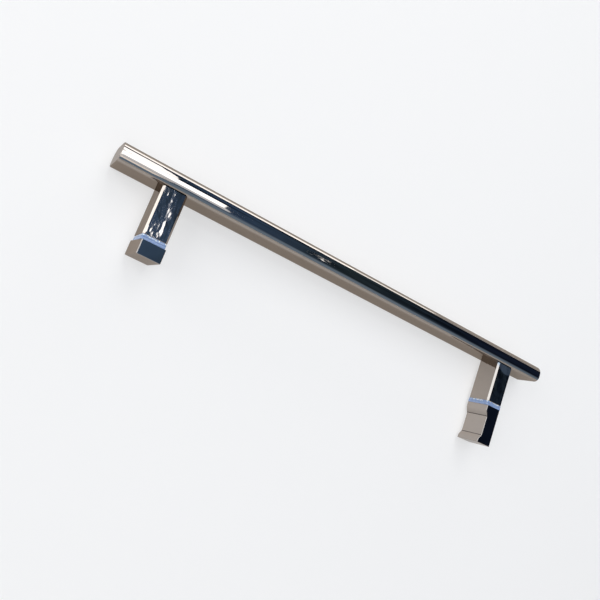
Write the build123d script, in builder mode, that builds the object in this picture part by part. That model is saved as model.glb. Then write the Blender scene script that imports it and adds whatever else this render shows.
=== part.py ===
from build123d import *
import os

# Glass door pull handle: a long bar carried by two posts, with a short rear cap
# behind the left post and a longer rear knob behind the right post. A glass door
# would be clamped between the two gaskets of each post.
#
# Lengths are in millimetres. X runs along the bar, the posts run along Y and Z is up.
# The origin is halfway between the two fixings, where the two gaskets of a post meet.

# Spacing of the posts and the size of the bar
post_spacing = 350.0
bar_overhang = 35.0
bar_height = 30.0
bar_depth = 15.0
bar_wall = 1.5
bar_front_radius = 5.0
bar_back_radius = 7.5

# End caps pressed into the open ends of the bar
end_plate = 2.0
end_spigot_length = 8.0
end_spigot_clearance = 0.1
end_edge_break = 0.4

# Posts
post_width = 19.0
post_height = 25.0
post_length = 37.5
post_edge_chamfer = 1.5
post_end_break = 0.3

# Gaskets, one on each side of the glass
gasket_thickness = 2.0
gasket_inset = 0.2
gasket_corner = 1.2
gasket_hole_radius = 5.0

# Rear cap, behind the left post, screwed on and a little turned about its stud
cap_length = 11.0
cap_turn = 5.0
cap_edge_radius = 0.6
cap_end_wall = 2.0

# Rear knob, behind the right post, with a finger recess in its outer side
knob_width = 17.0
knob_turn = 2.5
knob_neck = 5.0
knob_near_slope = 6.0
knob_recess_floor = 17.0
knob_far_slope = 4.5
knob_lip = 3.0
knob_recess_depth = 3.0
knob_recess_blend = 3.0
knob_edge_radius = 0.5
knob_end_break = 0.3
knob_bore_depth = 21.0

# Tie studs with their nuts and washers
stud_radius = 3.0
stud_end_chamfer = 0.6
stud_end_gap = 0.6
stud_hole_clearance = 0.3
thread_clearance = 0.05
nut_width = 10.0
nut_thickness = 5.0
nut_top_clearance = 1.4
washer_outer_radius = 6.0
washer_thickness = 1.6
washer_hole_clearance = 0.2
washer_side_clearance = 0.3

# Threaded blocks inside the bar
block_width = 16.0
block_height = 18.0
block_thickness = 8.0
stud_beyond_block = 1.0

# Grub screws that lock the cap and the knob on their studs
grub_radius = 2.5
grub_length = 8.0
grub_socket_width = 2.5
grub_socket_depth = 2.5
grub_tip_gap = 0.05
grub_from_face = 5.5

# Sizes that follow from the ones above
bar_length = post_spacing + post_width + 2 * bar_overhang
tube_length = bar_length - 2 * end_plate
post_end_y = gasket_thickness
bar_front_y = post_end_y + post_length
bar_centre_y = bar_front_y + bar_depth / 2
rear_face_y = -gasket_thickness
knob_length = knob_neck + knob_near_slope + knob_recess_floor + knob_far_slope + knob_lip
cap_bore_depth = cap_length - cap_end_wall
block_front_y = bar_front_y + bar_wall
block_back_y = block_front_y + block_thickness
stud_inner_y = block_back_y + stud_beyond_block
stud_hole_radius = stud_radius + stud_hole_clearance
thread_radius = stud_radius + thread_clearance
pocket_radius = washer_outer_radius + washer_side_clearance
pocket_depth = washer_thickness + nut_thickness + nut_top_clearance
washer_seat_y = post_end_y + pocket_depth
nut_seat_y = washer_seat_y - washer_thickness
grub_y = rear_face_y - grub_from_face
grub_top_z = -stud_radius - grub_tip_gap

sides = {"left": -post_spacing / 2, "right": post_spacing / 2}
rear_bores = {"left": cap_bore_depth, "right": knob_bore_depth}


# A plane square to the posts, at the given distance along Y, that faces away from the bar
def cross_plane(x, y):
    return Plane(origin=(x, y, 0), x_dir=(1, 0, 0), z_dir=(0, -1, 0))


# A plane under the handle that faces down, for the grub screws
def under_plane(x, z):
    return Plane(origin=(x, grub_y, z), x_dir=(1, 0, 0), z_dir=(0, 0, -1))


# The bar's section in its own plane, flat towards the posts and round at the back
def draw_bar_section(sketch, inset):
    with Locations((bar_centre_y, 0)):
        Rectangle(bar_depth - 2 * inset, bar_height - 2 * inset)
    fillet(sketch.vertices().group_by(Axis.X)[0], bar_front_radius - inset)
    fillet(sketch.vertices().group_by(Axis.X)[-1], bar_back_radius - inset)


# A part turned about the axis of the stud at x, clockwise as seen from the rear
def turned(part, x, angle):
    return part.rotate(Axis((x, 0, 0), (0, 1, 0)), angle)


def save(part, name):
    part.label = name
    export_step(part, f"parts/{name}.step")


os.makedirs("parts", exist_ok=True)

# Bar: a tube with a hole in its flat side for each stud
with BuildPart() as bar_tube:
    with BuildSketch(Plane.YZ.offset(-tube_length / 2)) as tube_section:
        draw_bar_section(tube_section, 0)
        offset(amount=-bar_wall, mode=Mode.SUBTRACT)
    extrude(amount=tube_length)
    for x in sides.values():
        with BuildSketch(cross_plane(x, block_front_y)):
            Circle(stud_hole_radius)
        extrude(amount=bar_wall, mode=Mode.SUBTRACT)
save(bar_tube.part, "bar_tube")

# End caps: a flush plate of the bar's own section, on a spigot that fills the tube
for name, direction in (("left", -1), ("right", 1)):
    with BuildPart() as end_cap:
        with BuildSketch(Plane.YZ.offset(direction * tube_length / 2)) as plate_section:
            draw_bar_section(plate_section, 0)
        extrude(amount=direction * end_plate)
        outer_face = end_cap.faces().filter_by(Axis.X).sort_by(Axis.X)[0 if direction < 0 else -1]
        chamfer(outer_face.edges(), length=end_edge_break)
        with BuildSketch(Plane.YZ.offset(direction * tube_length / 2)) as spigot_section:
            draw_bar_section(spigot_section, bar_wall + end_spigot_clearance)
        extrude(amount=-direction * end_spigot_length)
    save(end_cap.part, f"bar_end_cap_{name}")

for name, x in sides.items():
    # Threaded block that rests on the inside of the bar's flat wall
    with BuildPart() as block:
        with BuildSketch(cross_plane(x, block_back_y)):
            Rectangle(block_width, block_height)
            Circle(thread_radius, mode=Mode.SUBTRACT)
        extrude(amount=block_thickness)
    save(block.part, f"bar_nut_block_{name}")

    # Post: a bevelled bar with a pocket for the nut and washer at its glass end
    with BuildPart() as post:
        with BuildSketch(cross_plane(x, bar_front_y)) as post_section:
            Rectangle(post_width, post_height)
            chamfer(post_section.vertices(), length=post_edge_chamfer)
        extrude(amount=post_length)
        chamfer(post.faces().sort_by(Axis.Y)[0].edges(), length=post_end_break)
        with Locations(cross_plane(x, post_end_y)):
            CounterBoreHole(stud_hole_radius, pocket_radius, pocket_depth, depth=post_length)
    save(post.part, f"post_{name}")

    # Tie stud, from the block in the bar to the bore of the cap or knob
    stud_outer_y = rear_face_y - rear_bores[name] + stud_end_gap
    with BuildPart() as stud:
        with BuildSketch(cross_plane(x, stud_inner_y)):
            Circle(stud_radius)
        extrude(amount=stud_inner_y - stud_outer_y)
        chamfer(stud.edges().filter_by(GeomType.CIRCLE), length=stud_end_chamfer)
    save(stud.part, f"tie_stud_{name}")

    # Washer and nut at the bottom of the post's pocket
    with BuildPart() as washer:
        with BuildSketch(cross_plane(x, washer_seat_y)):
            Circle(washer_outer_radius)
            Circle(stud_radius + washer_hole_clearance, mode=Mode.SUBTRACT)
        extrude(amount=washer_thickness)
    save(washer.part, f"post_washer_{name}")

    with BuildPart() as nut:
        with BuildSketch(cross_plane(x, nut_seat_y)):
            RegularPolygon(nut_width / 2, 6, major_radius=False)
            Circle(thread_radius, mode=Mode.SUBTRACT)
        extrude(amount=nut_thickness)
    save(nut.part, f"post_nut_{name}")

# Gaskets: one against each post, and one against the cap or the knob
gasket_places = {
    "post_gasket_left": (sides["left"], post_end_y),
    "post_gasket_right": (sides["right"], post_end_y),
    "cap_gasket_left": (sides["left"], 0),
    "knob_gasket_right": (sides["right"], 0),
}
for name, (x, y) in gasket_places.items():
    with BuildPart() as gasket:
        with BuildSketch(cross_plane(x, y)) as gasket_section:
            Rectangle(post_width - 2 * gasket_inset, post_height - 2 * gasket_inset)
            fillet(gasket_section.vertices(), gasket_corner)
            Circle(gasket_hole_radius, mode=Mode.SUBTRACT)
        extrude(amount=gasket_thickness)
    save(gasket.part, name)

# Rear cap: a short block on the section of the posts, with softened edges
cap_x = sides["left"]
with BuildPart() as rear_cap:
    with BuildSketch(cross_plane(cap_x, rear_face_y)):
        Rectangle(post_width, post_height)
    extrude(amount=cap_length)
    seat_edges = rear_cap.faces().sort_by(Axis.Y)[-1].edges()
    fillet(rear_cap.edges() - seat_edges, cap_edge_radius)
    with BuildSketch(cross_plane(cap_x, rear_face_y)):
        Circle(thread_radius)
    extrude(amount=cap_bore_depth, mode=Mode.SUBTRACT)
    with BuildSketch(under_plane(cap_x, -stud_radius)):
        Circle(grub_radius + thread_clearance)
    extrude(amount=post_height / 2, mode=Mode.SUBTRACT)
save(turned(rear_cap.part, cap_x, cap_turn), "rear_cap")

# Rear knob: its side away from the other post has a long recess that ends in a lip
knob_x = sides["right"]
side_x = knob_x - knob_width / 2
outer_x = knob_x + knob_width / 2
floor_x = side_x + knob_recess_depth
slope_start_y = rear_face_y - knob_neck
floor_start_y = slope_start_y - knob_near_slope
floor_end_y = floor_start_y - knob_recess_floor
lip_start_y = floor_end_y - knob_far_slope
knob_end_y = rear_face_y - knob_length
recess_corners = [
    (side_x, slope_start_y),
    (floor_x, floor_start_y),
    (floor_x, floor_end_y),
    (side_x, lip_start_y),
]
with BuildPart() as rear_knob:
    with BuildSketch(Plane.XY.offset(-post_height / 2)) as knob_plan:
        with BuildLine():
            Polyline(
                (outer_x, rear_face_y),
                (side_x, rear_face_y),
                *recess_corners,
                (side_x, knob_end_y),
                (outer_x, knob_end_y),
                close=True,
            )
        make_face()
        plan_corners = knob_plan.vertices().sort_by(Axis.Y)[2:-2]
        fillet(plan_corners, knob_recess_blend)
    extrude(amount=post_height)
    flat_faces = rear_knob.faces().filter_by(Axis.Z)
    long_edges = flat_faces.edges() - flat_faces.edges().filter_by(Axis.X)
    fillet(long_edges, knob_edge_radius)
    chamfer(rear_knob.faces().sort_by(Axis.Y)[0].edges(), length=knob_end_break)
    with BuildSketch(cross_plane(knob_x, rear_face_y)):
        Circle(thread_radius)
    extrude(amount=knob_bore_depth, mode=Mode.SUBTRACT)
    with BuildSketch(under_plane(knob_x, -stud_radius)):
        Circle(grub_radius + thread_clearance)
    extrude(amount=post_height / 2, mode=Mode.SUBTRACT)
save(turned(rear_knob.part, knob_x, knob_turn), "rear_knob")

# Grub screws under the cap and the knob, each with a hexagon socket
grub_places = (("cap_grub_screw", cap_x, cap_turn), ("knob_grub_screw", knob_x, knob_turn))
for name, x, turn in grub_places:
    with BuildPart() as grub_screw:
        with BuildSketch(under_plane(x, grub_top_z)):
            Circle(grub_radius)
        extrude(amount=grub_length)
        with BuildSketch(under_plane(x, grub_top_z - grub_length + grub_socket_depth)):
            RegularPolygon(grub_socket_width / 2, 6, major_radius=False)
        extrude(amount=grub_socket_depth, mode=Mode.SUBTRACT)
    save(turned(grub_screw.part, x, turn), name)
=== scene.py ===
import math

import bmesh
import bpy
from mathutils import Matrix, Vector


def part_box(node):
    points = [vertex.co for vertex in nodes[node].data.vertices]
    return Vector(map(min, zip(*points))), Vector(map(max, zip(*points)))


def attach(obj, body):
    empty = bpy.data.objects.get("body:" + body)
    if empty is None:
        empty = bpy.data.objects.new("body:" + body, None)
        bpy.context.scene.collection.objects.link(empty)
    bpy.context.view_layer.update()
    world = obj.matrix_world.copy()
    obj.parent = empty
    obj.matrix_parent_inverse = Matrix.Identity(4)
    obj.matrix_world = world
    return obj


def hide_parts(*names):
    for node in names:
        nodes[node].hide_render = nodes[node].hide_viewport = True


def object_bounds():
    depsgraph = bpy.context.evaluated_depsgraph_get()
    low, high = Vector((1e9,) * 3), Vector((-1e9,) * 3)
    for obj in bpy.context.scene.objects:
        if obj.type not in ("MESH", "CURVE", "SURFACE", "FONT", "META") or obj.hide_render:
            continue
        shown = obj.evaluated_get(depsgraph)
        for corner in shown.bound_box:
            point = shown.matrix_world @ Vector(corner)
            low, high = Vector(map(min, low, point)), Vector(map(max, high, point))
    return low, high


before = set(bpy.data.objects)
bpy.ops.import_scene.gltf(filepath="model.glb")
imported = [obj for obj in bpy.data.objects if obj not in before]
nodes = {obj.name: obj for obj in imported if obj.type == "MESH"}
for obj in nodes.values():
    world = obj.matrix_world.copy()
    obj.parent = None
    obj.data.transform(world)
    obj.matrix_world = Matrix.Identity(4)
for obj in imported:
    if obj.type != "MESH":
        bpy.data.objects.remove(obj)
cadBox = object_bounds()
mm = 0.001


# Shader nodes. An input is given as a number, a colour, or the output of another node
def setInputs(tree, node, inputs):
    for key, value in inputs.items():
        if isinstance(value, bpy.types.NodeSocket):
            tree.links.new(value, node.inputs[key])
        else:
            node.inputs[key].default_value = value


def addNode(tree, kind, label, inputs=None, **settings):
    node = tree.nodes.new(kind)
    node.name = node.label = label
    for key, value in settings.items():
        setattr(node, key, value)
    setInputs(tree, node, inputs or {})
    return node


def mathNode(tree, label, operation, *values):
    inputs = dict(enumerate(values))
    return addNode(tree, "ShaderNodeMath", label, inputs, operation=operation).outputs["Value"]


def vectorNode(tree, label, operation, first, second, result="Vector"):
    inputs = {0: first, 1: second}
    return addNode(tree, "ShaderNodeVectorMath", label, inputs, operation=operation).outputs[result]


def mapRange(tree, label, value, low, high, toLow=0.0, toHigh=1.0, **settings):
    inputs = {"Value": value, "From Min": low, "From Max": high, "To Min": toLow, "To Max": toHigh}
    return addNode(tree, "ShaderNodeMapRange", label, inputs, **settings).outputs["Result"]


def mixColours(tree, label, share, first, second):
    inputs = {"Factor": share}
    for socket, colour in ((6, first), (7, second)):  # the colour sockets of the Mix node
        inputs[socket] = colour if isinstance(colour, bpy.types.NodeSocket) else (*colour, 1)
    return addNode(tree, "ShaderNodeMix", label, inputs, data_type="RGBA").outputs[2]


def splitVector(tree, label, vector):
    return addNode(tree, "ShaderNodeSeparateXYZ", label, {"Vector": vector}).outputs


def newMaterial(name):
    material = bpy.data.materials.new(name)
    material.use_nodes = True
    tree = material.node_tree
    tree.nodes.clear()
    shader = addNode(tree, "ShaderNodeBsdfPrincipled", "Surface")
    addNode(tree, "ShaderNodeOutputMaterial", "Output", {"Surface": shader.outputs["BSDF"]})
    return material, tree, shader


# A group with one number as its result. Its inputs are numbers, or vectors where they start
# as three numbers
def newGroup(name, inputs, result):
    group = bpy.data.node_groups.new(name, "ShaderNodeTree")
    for label, start in inputs.items():
        kind = "NodeSocketVector" if isinstance(start, tuple) else "NodeSocketFloat"
        socket = group.interface.new_socket(label, in_out="INPUT", socket_type=kind)
        socket.default_value = start
    group.interface.new_socket(result, in_out="OUTPUT", socket_type="NodeSocketFloat")
    given = addNode(group, "NodeGroupInput", "In").outputs
    return group, given, addNode(group, "NodeGroupOutput", "Out")


def placeGroup(tree, effect, inputs):
    group = effects[effect]
    return addNode(tree, "ShaderNodeGroup", group.name, inputs, node_tree=group).outputs[0]


# Hand polish: slow waves left by the polishing wheel, as a height in metres
waveNoise = {"Scale": 1.0, "Roughness": 0.45}


def buildPolishWaves():
    group, given, out = newGroup("polishWaves", {
        "Place": (0, 0, 0), "Across": 150.0, "Along": 50.0, "Depth": 0.00005, "Shift": 0.0,
        "Detail": 1.5}, "Height")
    scale = addNode(group, "ShaderNodeCombineXYZ", "Stretch",
                    {"X": given["Across"], "Y": given["Along"], "Z": given["Across"]})
    stretched = vectorNode(group, "Stretched place", "MULTIPLY", given["Place"],
                           scale.outputs["Vector"])
    moved = vectorNode(group, "Moved place", "ADD", stretched, given["Shift"])
    waves = addNode(group, "ShaderNodeTexNoise", "Waves",
                    {**waveNoise, "Vector": moved, "Detail": given["Detail"]})
    height = mathNode(group, "Wave height", "MULTIPLY", waves.outputs["Fac"], given["Depth"])
    setInputs(group, out, {"Height": height})
    return group


# Faces polished a little out of flat, by a slope that changes along the posts. The posts stand
# on both sides of the middle, and Centre is how far they are from it
def buildFaceLean():
    group, given, out = newGroup("faceLean", {
        "Place": (0, 0, 0), "Centre": 0.0, "Length": 1.0, "First Slope": 0.0,
        "Last Slope": 0.0}, "Height")
    parts = splitVector(group, "Parts", given["Place"])
    aside = mathNode(group, "Aside", "ABSOLUTE", parts["X"])
    offset = mathNode(group, "Off the axis", "SUBTRACT", aside, given["Centre"])
    slope = mapRange(group, "Slope", parts["Y"], 0.0, given["Length"],
                     given["First Slope"], given["Last Slope"])
    setInputs(group, out, {"Height": mathNode(group, "Height", "MULTIPLY", offset, slope)})
    return group


# A round mark about one point, as a mask with a soft edge
def buildRoundMark():
    group, given, out = newGroup("roundMark", {
        "Place": (0, 0, 0), "At": (0, 0, 0), "Reach": 0.001, "Soft": 0.0005}, "Mark")
    away = vectorNode(group, "Away", "DISTANCE", given["Place"], given["At"], "Value")
    inner = mathNode(group, "Inner reach", "SUBTRACT", given["Reach"], given["Soft"])
    fade = mapRange(group, "Fade", away, inner, given["Reach"], 1.0, 0.0,
                    interpolation_type="SMOOTHSTEP")
    setInputs(group, out, {"Mark": fade})
    return group


# Painted shade: dark lines across the sides at two places along the knob, where its slopes fall
# into the hollows, and a shaded slope before the first
creaseShadeSides = {"upwardShare": 0.6}  # faces that look further up or down than this have none


def buildCreaseShade():
    group, given, out = newGroup("creaseShade", {
        "Place": (0, 0, 0), "Facing": (0, 0, 0), "First": 0.0, "Second": 0.0, "Width": 0.0005,
        "Band Start": 0.0, "Band Shade": 0.2}, "Crease Shade")
    along = splitVector(group, "Parts", given["Place"])["Y"]
    lines = [mathNode(group, label + " line", "COMPARE", along, given[label], given["Width"])
             for label in ("First", "Second")]
    either = mathNode(group, "Either line", "MAXIMUM", *lines)
    band = mapRange(group, "Slope share", along, given["Band Start"], given["First"])
    before = mathNode(group, "Before the first", "GREATER_THAN", along, given["First"])
    slope = mathNode(group, "Slope", "MULTIPLY", band, before)
    shade = mathNode(group, "Slope shade", "MULTIPLY", slope, given["Band Shade"])
    whole = mathNode(group, "Lines and slope", "MAXIMUM", either, shade)
    facing = splitVector(group, "Facing parts", given["Facing"])
    upward = mathNode(group, "Upward share", "ABSOLUTE", facing["Z"])
    side = mathNode(group, "On the sides", "LESS_THAN", upward, creaseShadeSides["upwardShare"])
    setInputs(group, out, {"Crease Shade": mathNode(group, "Only there", "MULTIPLY", whole, side)})
    return group


# Fine scratches: long thin marks along one direction, as a mask
scratchLines = {"noise": {"Scale": 1.0, "Detail": 3.0}, "start": 0.62, "full": 0.72}


def buildFineScratches():
    group, given, out = newGroup("fineScratches", {
        "Place": (0, 0, 0), "Stretch": (40.0, 2600.0, 2600.0), "Amount": 0.3}, "Scratch")
    stretched = vectorNode(group, "Stretched place", "MULTIPLY", given["Place"], given["Stretch"])
    lines = addNode(group, "ShaderNodeTexNoise", "Lines",
                    {**scratchLines["noise"], "Vector": stretched})
    thin = mapRange(group, "Thin marks", lines.outputs["Fac"], scratchLines["start"],
                    scratchLines["full"])
    setInputs(group, out, {"Scratch": mathNode(group, "Amount", "MULTIPLY", thin, given["Amount"])})
    return group


# Smudges: faint finger marks and haze, as a mask
smudgePatches = {"noise": {"Detail": 5.0, "Roughness": 0.6, "Distortion": 0.4}, "full": 0.85}


def buildSmudges():
    group, given, out = newGroup("smudges", {
        "Place": (0, 0, 0), "Scale": 60.0, "Cover": 0.5}, "Smudge")
    patches = addNode(group, "ShaderNodeTexNoise", "Patches",
                      {**smudgePatches["noise"], "Vector": given["Place"], "Scale": given["Scale"]})
    clean = mathNode(group, "Clean share", "SUBTRACT", 1.0, given["Cover"])
    soft = mapRange(group, "Soft edge", patches.outputs["Fac"], clean, smudgePatches["full"],
                    interpolation_type="SMOOTHSTEP")
    setInputs(group, out, {"Smudge": soft})
    return group


# Specks: small scattered dots, as a mask
speckDots = {"emptyShare": 0.40}  # share of the places without a dot


def buildSpecks():
    group, given, out = newGroup("specks", {
        "Place": (0, 0, 0), "Scale": 900.0, "Size": 0.16}, "Speck")
    cells = addNode(group, "ShaderNodeTexVoronoi", "Cells",
                    {"Vector": given["Place"], "Scale": given["Scale"]})
    dots = mathNode(group, "Dots", "LESS_THAN", cells.outputs["Distance"], given["Size"])
    chosen = addNode(group, "ShaderNodeSeparateColor", "Random", {"Color": cells.outputs["Color"]})
    few = mathNode(group, "Few of them", "GREATER_THAN", chosen.outputs["Red"],
                   speckDots["emptyShare"])
    setInputs(group, out, {"Speck": mathNode(group, "Chosen dots", "MULTIPLY", dots, few)})
    return group


effects = {
    "waves": buildPolishWaves(),
    "lean": buildFaceLean(),
    "mark": buildRoundMark(),
    "creaseShade": buildCreaseShade(),
    "scratches": buildFineScratches(),
    "smudges": buildSmudges(),
    "specks": buildSpecks(),
}
print("stage: shader groups built")

# What all the steel finishes share
steel = {
    "grazing": (0.53, 0.485, 0.445),  # the mirror at a grazing look, dimmed by a thin dull film
    "scratchHaze": 0.12,  # roughness that a full scratch adds
    "waveDistance": 1.0,  # the waves are in metres already
}

# Marks on the bar and the right post as photographed: place and reach in millimetres
barMarksAndPaintedShade = (
    {"at": (-218.4, 44.6, 15.0), "reach": 1.0, "soft": 0.7,
     "colour": (0.02, 0.02, 0.02), "roughness": 0.45},
    # Painted shade: a dark spot where the bar's lower edge meets the right post
    {"at": (151.0, 39.5, 3.4), "reach": 1.3, "soft": 0.9,
     "colour": (0.015, 0.015, 0.015), "roughness": 0.45},
)
postPaintedReflection = (
    # Painted reflection: a slate blue patch on the right post's top at the bar end, where the bar
    # is mirrored
    {"at": (178.0, 45.5, 12.5), "reach": 15.5, "soft": 2.5,
     "colour": (0.24, 0.28, 0.32), "roughness": 0.34},
)
# Painted shade in the hollows of the knob: dark lines and a shaded band, in millimetres from its
# glass end
knobCreaseShade = {
    "first": 9.9, "second": 28.0, "width": 0.55, "bandStart": 5.0, "bandShade": 0.25,
    "colour": (0.045, 0.038, 0.034), "roughness": 0.30,
}

# The finish of the rear pieces, which the cap and the knob share
rearFinish = {
    "colour": (0.395, 0.352, 0.318), "smudged": (0.360, 0.318, 0.285),
    "across": 120.0, "along": 60.0, "depth": 0.00003, "shift": 17.0, "waveDetail": 1.5,
    "stretch": (2600.0, 60.0, 2600.0), "scratchAmount": 0.3,
    "smudgeScale": 80.0, "smudgeCover": 0.45, "clearRoughness": 0.03, "smudgeRoughness": 0.09,
}

# Steel, a finish for each kind of piece: its tones, polishing waves, scratches and smudges.
# Across and along say how close the waves lie, across and along the posts, depth is in metres,
# and the scratches are long on the axis with the small number of their stretch
finishes = {
    "mirrorBar": {
        "colour": (0.345, 0.303, 0.268), "smudged": (0.312, 0.272, 0.238),
        "across": 40.0, "along": 80.0, "depth": 0.00020, "shift": 3.0, "waveDetail": 1.5,
        "stretch": (45.0, 2600.0, 2600.0), "scratchAmount": 0.35,
        "smudgeScale": 42.0, "smudgeCover": 0.50, "clearRoughness": 0.035, "smudgeRoughness": 0.11,
        "marks": barMarksAndPaintedShade,
    },
    "mirrorPost": {
        "colour": (0.345, 0.303, 0.268), "smudged": (0.312, 0.272, 0.238),
        "across": 150.0, "along": 85.0, "depth": 0.00030, "shift": 61.0, "waveDetail": 2.0,
        "stretch": (2600.0, 60.0, 2600.0), "scratchAmount": 0.35,
        "smudgeScale": 70.0, "smudgeCover": 0.50, "clearRoughness": 0.05, "smudgeRoughness": 0.12,
        "lean": (0.060, 0.082),  # slope at the glass and at the bar
        "marks": postPaintedReflection,
    },
    "mirrorCap": rearFinish,
    "mirrorKnob": {**rearFinish, "creaseShade": knobCreaseShade},
    "satinEnd": {
        "colour": (0.37, 0.325, 0.288), "smudged": (0.33, 0.29, 0.255),
        "across": 150.0, "along": 150.0, "depth": 0.00002, "shift": 23.0, "waveDetail": 1.5,
        "stretch": (2600.0, 2600.0, 120.0), "scratchAmount": 0.4,
        "smudgeScale": 120.0, "smudgeCover": 0.55, "clearRoughness": 0.10, "smudgeRoughness": 0.20,
    },
    "plainSteel": {
        "colour": (0.46, 0.45, 0.44), "smudged": (0.34, 0.32, 0.30),
        "across": 300.0, "along": 300.0, "depth": 0.00004, "shift": 31.0, "waveDetail": 1.5,
        "stretch": (1800.0, 900.0, 1800.0), "scratchAmount": 0.6,
        "smudgeScale": 260.0, "smudgeCover": 0.60, "clearRoughness": 0.24, "smudgeRoughness": 0.42,
    },
    "blackenedSteel": {
        "colour": (0.050, 0.049, 0.050), "smudged": (0.10, 0.095, 0.09),
        "across": 400.0, "along": 400.0, "depth": 0.00003, "shift": 37.0, "waveDetail": 1.5,
        "stretch": (1500.0, 1500.0, 900.0), "scratchAmount": 0.5,
        "smudgeScale": 400.0, "smudgeCover": 0.50, "clearRoughness": 0.32, "smudgeRoughness": 0.50,
    },
}


# The masks of a finish's marks and of its painted crease shade, each with the values that it brings
def placeMarksAndShade(tree, place, finish):
    masks = []
    for mark in finish.get("marks", ()):
        spot = placeGroup(tree, "mark", {
            "Place": place, "At": Vector(mark["at"]) * mm, "Reach": mark["reach"] * mm,
            "Soft": mark["soft"] * mm})
        masks.append((spot, mark))
    # The knob's painted shade: dark crease lines and a shaded slope in its hollows
    if "creaseShade" in finish:
        creaseShade = finish["creaseShade"]
        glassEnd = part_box("rear_knob")[1].y
        lines = placeGroup(tree, "creaseShade", {
            "Place": place,
            "Facing": addNode(tree, "ShaderNodeTexCoord", "Facing").outputs["Normal"],
            "First": glassEnd - creaseShade["first"] * mm,
            "Second": glassEnd - creaseShade["second"] * mm,
            "Width": creaseShade["width"] / 2 * mm,
            "Band Start": glassEnd - creaseShade["bandStart"] * mm,
            "Band Shade": creaseShade["bandShade"]})
        masks.append((lines, creaseShade))
    return masks


def buildSteel(name, finish):
    material, tree, shader = newMaterial(name)
    place = addNode(tree, "ShaderNodeTexCoord", "Place").outputs["Object"]
    height = placeGroup(tree, "waves", {
        "Place": place, "Across": finish["across"], "Along": finish["along"],
        "Depth": finish["depth"], "Shift": finish["shift"], "Detail": finish["waveDetail"]})
    scratch = placeGroup(tree, "scratches", {
        "Place": place, "Stretch": finish["stretch"], "Amount": finish["scratchAmount"]})
    smudge = placeGroup(tree, "smudges", {
        "Place": place, "Scale": finish["smudgeScale"], "Cover": finish["smudgeCover"]})
    colour = mixColours(tree, "Tone", smudge, finish["colour"], finish["smudged"])
    haze = mapRange(tree, "Haze", smudge, 0.0, 1.0, finish["clearRoughness"],
                    finish["smudgeRoughness"])
    roughness = mathNode(tree, "Scratched haze", "MULTIPLY_ADD", scratch, steel["scratchHaze"],
                         haze)
    for mask, mark in placeMarksAndShade(tree, place, finish):
        # Each mask darkens or tints the steel: painted shade at the knob's creases and at the bar's
        # joint with the right post, a painted reflection on the right post's top, and a dark spot
        # at the bar's left end
        colour = mixColours(tree, "Marks, painted shade and reflection", mask, colour, mark["colour"])
        dulled = addNode(tree, "ShaderNodeMix", "Dulled",
                         {"Factor": mask, "A": roughness, "B": mark["roughness"]})
        roughness = dulled.outputs["Result"]
    if "lean" in finish:
        low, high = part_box("post_left")
        firstSlope, lastSlope = finish["lean"]
        lean = placeGroup(tree, "lean", {
            "Place": place, "Centre": -(low.x + high.x) / 2, "Length": high.y,
            "First Slope": firstSlope, "Last Slope": lastSlope})
        height = mathNode(tree, "Whole height", "ADD", height, lean)
    relief = addNode(tree, "ShaderNodeBump", "Relief",
                     {"Distance": steel["waveDistance"], "Height": height})
    setInputs(tree, shader, {
        "Base Color": colour, "Roughness": roughness, "Normal": relief.outputs["Normal"],
        "Metallic": 1.0, "Specular Tint": (*steel["grazing"], 1)})
    return material


# Soft pale blue plastic of the gaskets, with whitish specks along the post's edge
gasketFinish = {
    "colour": (0.25, 0.33, 0.51),
    "pale": (0.36, 0.44, 0.60),
    "speck": (0.90, 0.88, 0.78),
    "mottleScale": 420.0,
    "mottleCover": 0.60,
    "mottleHeight": 0.00003,
    "speckScale": 950.0,
    "speckSize": 0.50,
    "speckFrom": 0.3 * mm,  # from where the two gaskets of a post meet
    "speckFull": 1.3 * mm,
    "roughness": 0.30,
    "roughnessWorn": 0.48,
    "shader": {"IOR": 1.46, "Subsurface Weight": 0.25, "Subsurface Radius": (0.6, 0.8, 1.0),
               "Subsurface Scale": 1.0 * mm},
}


def buildGasketPlastic():
    material, tree, shader = newMaterial("paleBluePlastic")
    place = addNode(tree, "ShaderNodeTexCoord", "Place").outputs["Object"]
    mottle = placeGroup(tree, "smudges", {
        "Place": place, "Scale": gasketFinish["mottleScale"],
        "Cover": gasketFinish["mottleCover"]})
    specks = placeGroup(tree, "specks", {
        "Place": place, "Scale": gasketFinish["speckScale"], "Size": gasketFinish["speckSize"]})
    base = mixColours(tree, "Mottled blue", mottle, gasketFinish["colour"], gasketFinish["pale"])
    along = splitVector(tree, "Along the post", place)["Y"]
    nearPost = mapRange(tree, "Near the post", along, gasketFinish["speckFrom"],
                        gasketFinish["speckFull"])
    chalky = mathNode(tree, "Chalky specks", "MULTIPLY", specks, nearPost)
    colour = mixColours(tree, "Specked blue", chalky, base, gasketFinish["speck"])
    worn = mapRange(tree, "Worn gloss", mottle, 0.0, 1.0, gasketFinish["roughness"],
                    gasketFinish["roughnessWorn"])
    relief = addNode(tree, "ShaderNodeBump", "Relief",
                     {"Distance": gasketFinish["mottleHeight"], "Height": mottle})
    setInputs(tree, shader, {
        "Base Color": colour, "Roughness": worn, "Normal": relief.outputs["Normal"],
        **gasketFinish["shader"]})
    return material


steels = {name: buildSteel(name, finish) for name, finish in finishes.items()}
gasketPlastic = buildGasketPlastic()
print("stage: materials built")

# Which finish each metal node takes
nodeFinishes = {
    "mirrorBar": ("bar_tube",),
    "satinEnd": ("bar_end_cap_left", "bar_end_cap_right"),
    "mirrorPost": ("post_left", "post_right"),
    "mirrorCap": ("rear_cap",),
    "mirrorKnob": ("rear_knob",),
    "plainSteel": ("bar_nut_block_left", "bar_nut_block_right", "tie_stud_left", "tie_stud_right",
                   "post_washer_left", "post_washer_right", "post_nut_left", "post_nut_right"),
    "blackenedSteel": ("cap_grub_screw", "knob_grub_screw"),
}


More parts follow.
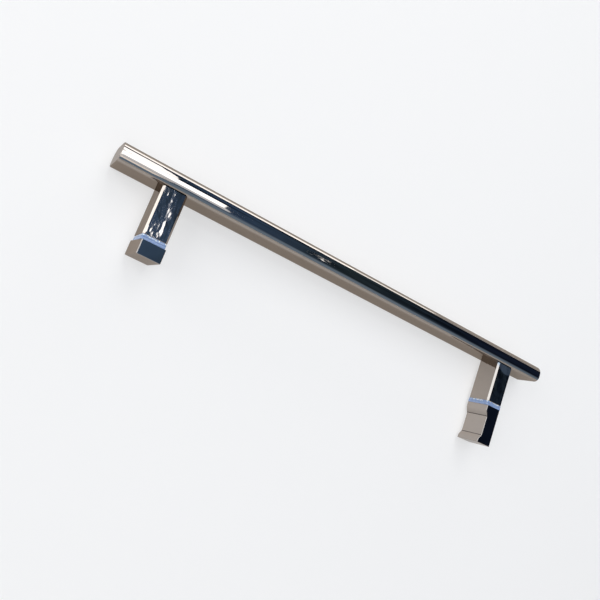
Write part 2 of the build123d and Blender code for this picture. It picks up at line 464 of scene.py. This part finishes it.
def giveMaterial(piece, material):
    piece.data.materials.clear()
    piece.data.materials.append(material)


for finishName, members in nodeFinishes.items():
    for member in members:
        giveMaterial(nodes[member], steels[finishName])
print("stage: metal pieces dressed")


# A new object in the scene, with the shape as its mesh, shaded smooth
def addMesh(shape, meshName, objectName):
    for face in shape.faces:
        face.smooth = True
    mesh = bpy.data.meshes.new(meshName)
    shape.to_mesh(mesh)
    shape.free()
    piece = bpy.data.objects.new(objectName, mesh)
    bpy.context.scene.collection.objects.link(piece)
    return piece


# Gaskets: squeezed washers with a soft swollen rim, in the room of the plain solids
gasketSizes = {
    "faceInset": 0.25 * mm,  # how far the rim starts inside the outline at each face
    "bulge": 0.16 * mm,
    "ripple": 0.05 * mm,
    "waves": ((3, 1.0, 1.0), (7, 0.6, 2.1)),  # count round the rim, height, share of the phase
    "fullness": 0.6,  # under 1 makes the rim blunter than an arc
    "firstPhase": 0.7,
    "phaseStep": 1.9,
    "hole": 5.0 * mm,
    "corner": 1.2 * mm,
    "outlinePoints": 160,
    "edgeSteps": 10,
    "sharpAngle": 50,
}


# Points of a rounded rectangle, at even angles about its middle
def roundedOutline(halfWidth, halfHeight, corner, count):
    points = []
    straightX, straightZ = halfWidth - corner, halfHeight - corner
    for index in range(count):
        angle = 2 * math.pi * index / count
        c, s = math.cos(angle), math.sin(angle)
        reach = min(halfWidth / abs(c) if c else math.inf, halfHeight / abs(s) if s else math.inf)
        x, z = reach * c, reach * s
        if abs(x) > straightX and abs(z) > straightZ:
            cornerX, cornerZ = math.copysign(straightX, x), math.copysign(straightZ, z)
            away = Vector((x - cornerX, z - cornerZ)).normalized() * corner
            x, z = cornerX + away.x, cornerZ + away.y
        points.append(Vector((x, z)))
    return points


def gasketSwell(angle, phase):
    wave = sum(height * math.sin(number * angle + share * phase)
               for number, height, share in gasketSizes["waves"])
    return gasketSizes["bulge"] + gasketSizes["ripple"] * wave


def buildGasket(nodeName, phase):
    low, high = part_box(nodeName)
    centre = (low + high) / 2
    half = (high - low) / 2
    count = gasketSizes["outlinePoints"]
    steps = gasketSizes["edgeSteps"]
    inset = gasketSizes["faceInset"]
    outline = roundedOutline(half.x, half.z, gasketSizes["corner"], count)
    shape = bmesh.new()
    rings = []  # round the rim, from one face to the other
    for step in range(steps + 1):
        turn = math.pi * step / steps
        fullness = math.sin(turn) ** gasketSizes["fullness"]
        y = centre.y - half.y * math.cos(turn)
        ring = []
        for index, point in enumerate(outline):
            swell = gasketSwell(2 * math.pi * index / count, phase)
            place = point + point.normalized() * ((inset + swell) * fullness - inset)
            ring.append(shape.verts.new((centre.x + place.x, y, centre.z + place.y)))
        rings.append(ring)
    holes = []
    for y in (low.y, high.y):
        ring = []
        for point in outline:
            place = gasketSizes["hole"] * point.normalized()
            ring.append(shape.verts.new((centre.x + place.x, y, centre.z + place.y)))
        holes.append(ring)
    loops = [holes[0], *rings, holes[1], holes[0]]  # the hole's wall closes the washer
    for first, second in zip(loops, loops[1:]):
        for index in range(count):
            following = (index + 1) % count
            shape.faces.new((first[index], first[following], second[following], second[index]))
    bmesh.ops.recalc_face_normals(shape, faces=shape.faces)
    gasket = addMesh(shape, nodeName + "Soft", nodeName + "_soft")
    gasket.data.set_sharp_from_angle(angle=math.radians(gasketSizes["sharpAngle"]))
    giveMaterial(gasket, gasketPlastic)
    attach(gasket, "root")
    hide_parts(nodeName)


gasketNodes = ("post_gasket_left", "post_gasket_right", "cap_gasket_left", "knob_gasket_right")
for order, nodeName in enumerate(gasketNodes):
    buildGasket(nodeName, gasketSizes["firstPhase"] + gasketSizes["phaseStep"] * order)
print("stage: gaskets built")

# The studio: a round pale floor that curves up into a low wall, in one sheet
studio = {
    "floorRadius": 2.7,
    "coveRadius": 0.5,
    "wallHeight": 1.15,
    "segments": 96,
    "coveSteps": 12,
    "floorColour": (0.93, 0.868, 0.803),
    "wallColour": (0.55, 0.54, 0.53),
    "roughness": 0.9,
    "gloss": 0.0,
    "whiteShare": 0.55,  # plain white that the camera and the mirrors see in the paper
}


def buildPaper():
    material, tree, shader = newMaterial("studioPaper")
    place = addNode(tree, "ShaderNodeTexCoord", "Place").outputs["Object"]
    height = splitVector(tree, "Height", place)["Z"]
    rise = mapRange(tree, "Wall share", height, 0.0, studio["wallHeight"])
    colour = mixColours(tree, "Paper", rise, studio["floorColour"], studio["wallColour"])
    setInputs(tree, shader, {
        "Base Color": colour, "Roughness": studio["roughness"],
        "Specular IOR Level": studio["gloss"]})
    rays = addNode(tree, "ShaderNodeLightPath", "Rays").outputs
    seen = mathNode(tree, "Seen or mirrored", "MAXIMUM", rays["Is Camera Ray"],
                    rays["Is Glossy Ray"])
    through = mathNode(tree, "Or seen through", "MAXIMUM", seen, rays["Is Transmission Ray"])
    share = mathNode(tree, "White share", "MULTIPLY", through, studio["whiteShare"])
    white = addNode(tree, "ShaderNodeEmission", "White paper",
                    {"Color": (1, 1, 1, 1), "Strength": 1.0})
    lit = addNode(tree, "ShaderNodeMixShader", "Lit paper",
                  {"Fac": share, 1: shader.outputs["BSDF"], 2: white.outputs["Emission"]})
    setInputs(tree, tree.nodes["Output"], {"Surface": lit.outputs["Shader"]})
    return material


def buildStudio():
    floorZ = cadBox[0][2]
    profile = [(studio["floorRadius"], floorZ)]  # radius and height, outwards and up
    for step in range(1, studio["coveSteps"] + 1):
        turn = math.pi / 2 * step / studio["coveSteps"]
        profile.append((studio["floorRadius"] + studio["coveRadius"] * math.sin(turn),
                        floorZ + studio["coveRadius"] * (1 - math.cos(turn))))
    profile.append((profile[-1][0], floorZ + studio["wallHeight"]))
    shape = bmesh.new()
    count = studio["segments"]
    centre = shape.verts.new((0, 0, floorZ))
    rings = []
    for radius, z in profile:
        ring = []
        for index in range(count):
            angle = 2 * math.pi * index / count
            ring.append(shape.verts.new((radius * math.cos(angle), radius * math.sin(angle), z)))
        rings.append(ring)
    for index in range(count):
        following = (index + 1) % count
        shape.faces.new((centre, rings[0][index], rings[0][following]))
        for first, second in zip(rings, rings[1:]):
            shape.faces.new((first[index], second[index], second[following], first[following]))
    sheet = addMesh(shape, "studioSheet", "studio_sheet")
    giveMaterial(sheet, buildPaper())


buildStudio()
print("stage: studio built")

# Area lights: where each stands, the point it faces, its size in metres and its power
softboxes = {
    "overheadLight": {"place": (-0.09, 0.685, 2.2), "aim": (-0.09, 0.685, 0),
                      "size": (1.24, 0.47), "power": 7.8, "colour": (0.90, 0.955, 1.0)},
    "dimmerLight": {"place": (-0.09, 0.05, 2.2), "aim": (-0.09, 0.05, 0),
                    "size": (1.24, 0.80), "power": 4.4, "colour": (0.91, 0.955, 1.0)},
    "slopingLight": {"place": (-0.33, 1.70, 1.94), "aim": (-0.20, 0, 0),
                     "size": (1.28, 1.36), "power": 20.0, "colour": (0.91, 0.955, 1.0)},
    "sideWindow": {"place": (-2.27, 0.20, 1.26), "aim": (0, 0, 0),
                   "size": (2.2, 2.1), "power": 39.0, "colour": (0.90, 0.955, 1.0)},
    "backWindow": {"place": (0.55, 2.70, 0.49), "aim": (0, 0, 0),
                   "size": (1.70, 0.98), "power": 15.0, "colour": (0.92, 0.96, 1.0)},
    "frontPanel": {"place": (-0.29, -0.95, 2.15), "aim": (-0.2, 0, 0),
                   "size": (1.10, 1.05), "power": 6.5, "colour": (1.0, 0.94, 0.85)},
    "backSlit": {"place": (1.64, 2.51, 0.49), "aim": (0, 0, 0),
                 "size": (0.51, 0.60), "power": 2.6, "colour": (0.90, 0.955, 1.0)},
    "smallLamp": {"place": (1.07, 0.73, 2.20), "aim": (0, 0, 0),
                  "size": (0.06, 0.03), "power": 0.014, "colour": (0.92, 0.96, 1.0)},
}


def addSoftbox(name, box):
    lamp = bpy.data.lights.new(name, "AREA")
    lamp.shape = "RECTANGLE"
    lamp.size, lamp.size_y = box["size"]
    lamp.energy = box["power"]
    lamp.color = box["colour"]
    softbox = bpy.data.objects.new(name, lamp)
    away = Vector(box["place"]) - Vector(box["aim"])
    softbox.location = box["place"]
    softbox.rotation_euler = away.to_track_quat("Z", "Y").to_euler()
    softbox.visible_camera = False
    bpy.context.scene.collection.objects.link(softbox)


for name, box in softboxes.items():
    addSoftbox(name, box)

# The dark room above: slate blue towards the left, nearly black towards the right, mottled,
# with a bluish glow towards the front and a pale one at the horizon
room = {
    "leftColour": (0.042, 0.082, 0.165),
    "middleColour": (0.030, 0.052, 0.070),
    "rightColour": (0.009, 0.016, 0.038),
    "leftEnd": 0.30,  # slate blue up to this share of rightwards in a direction
    "rightEnd": 0.66,  # and nearly black from this one on
    "mottle": {"Scale": 7.0, "Detail": 4.0},
    "mottleFrom": 0.35,
    "mottleTo": 0.68,
    "mottleLow": 0.45,
    "mottleHigh": 2.3,
    "front": (0.30, 0.43, 0.60),
    "frontDirection": (0.45, -0.72, 0.45),
    "frontStart": 0.66,
    "frontEnd": 0.98,
    "horizon": (0.36, 0.38, 0.40),
    "horizonTop": 0.36,
    "horizonStrength": 0.8,
}


def buildRoom():
    world = bpy.data.worlds.new("darkRoom")
    bpy.context.scene.world = world
    world.use_nodes = True
    tree = world.node_tree
    tree.nodes.clear()
    direction = addNode(tree, "ShaderNodeTexCoord", "Direction").outputs["Generated"]
    parts = splitVector(tree, "Parts", direction)
    middle = (room["leftEnd"] + room["rightEnd"]) / 2
    toMiddle = mapRange(tree, "Left to middle", parts["X"], room["leftEnd"], middle)
    toRight = mapRange(tree, "Middle to right", parts["X"], middle, room["rightEnd"])
    leftHalf = mixColours(tree, "Left half", toMiddle, room["leftColour"], room["middleColour"])
    ceiling = mixColours(tree, "Ceiling", toRight, leftHalf, room["rightColour"])
    patches = addNode(tree, "ShaderNodeTexNoise", "Patches",
                      {**room["mottle"], "Vector": direction})
    mottle = mapRange(tree, "Mottle", patches.outputs["Fac"], room["mottleFrom"],
                      room["mottleTo"], room["mottleLow"], room["mottleHigh"])
    mottled = addNode(tree, "ShaderNodeVectorMath", "Mottled ceiling",
                      {0: ceiling, "Scale": mottle}, operation="SCALE").outputs["Vector"]
    facing = vectorNode(tree, "Towards the front", "DOT_PRODUCT", direction,
                        Vector(room["frontDirection"]).normalized(), "Value")
    front = mapRange(tree, "Front glow", facing, room["frontStart"], room["frontEnd"],
                     interpolation_type="SMOOTHSTEP")
    withFront = mixColours(tree, "Room with front", front, mottled, room["front"])
    low = mapRange(tree, "Horizon glow", parts["Z"], 0.0, room["horizonTop"],
                   room["horizonStrength"], 0.0, interpolation_type="SMOOTHSTEP")
    whole = mixColours(tree, "Whole room", low, withFront, room["horizon"])
    background = addNode(tree, "ShaderNodeBackground", "Room", {"Color": whole})
    addNode(tree, "ShaderNodeOutputWorld", "Output", {"Surface": background.outputs["Background"]})


buildRoom()
print("stage: lights placed")

# The camera, as fitted to the photograph: place in metres, turn in degrees
cameraView = {
    "place": (-0.27003, -0.09192, 0.44688),
    "turn": (0.878, -28.791, 23.028),
    "lens": 38.16,
    "sensor": 36,
    "nearest": 0.01,
}

camera = bpy.data.cameras.new("photoCamera")
camera.sensor_width = cameraView["sensor"]
camera.lens = cameraView["lens"]
camera.clip_start = cameraView["nearest"]
cameraObject = bpy.data.objects.new("photoCamera", camera)
cameraObject.location = cameraView["place"]
cameraObject.rotation_euler = [math.radians(angle) for angle in cameraView["turn"]]
bpy.context.scene.collection.objects.link(cameraObject)
bpy.context.scene.camera = cameraObject
bpy.context.scene.view_settings.view_transform = "Standard"
print("stage: camera placed")
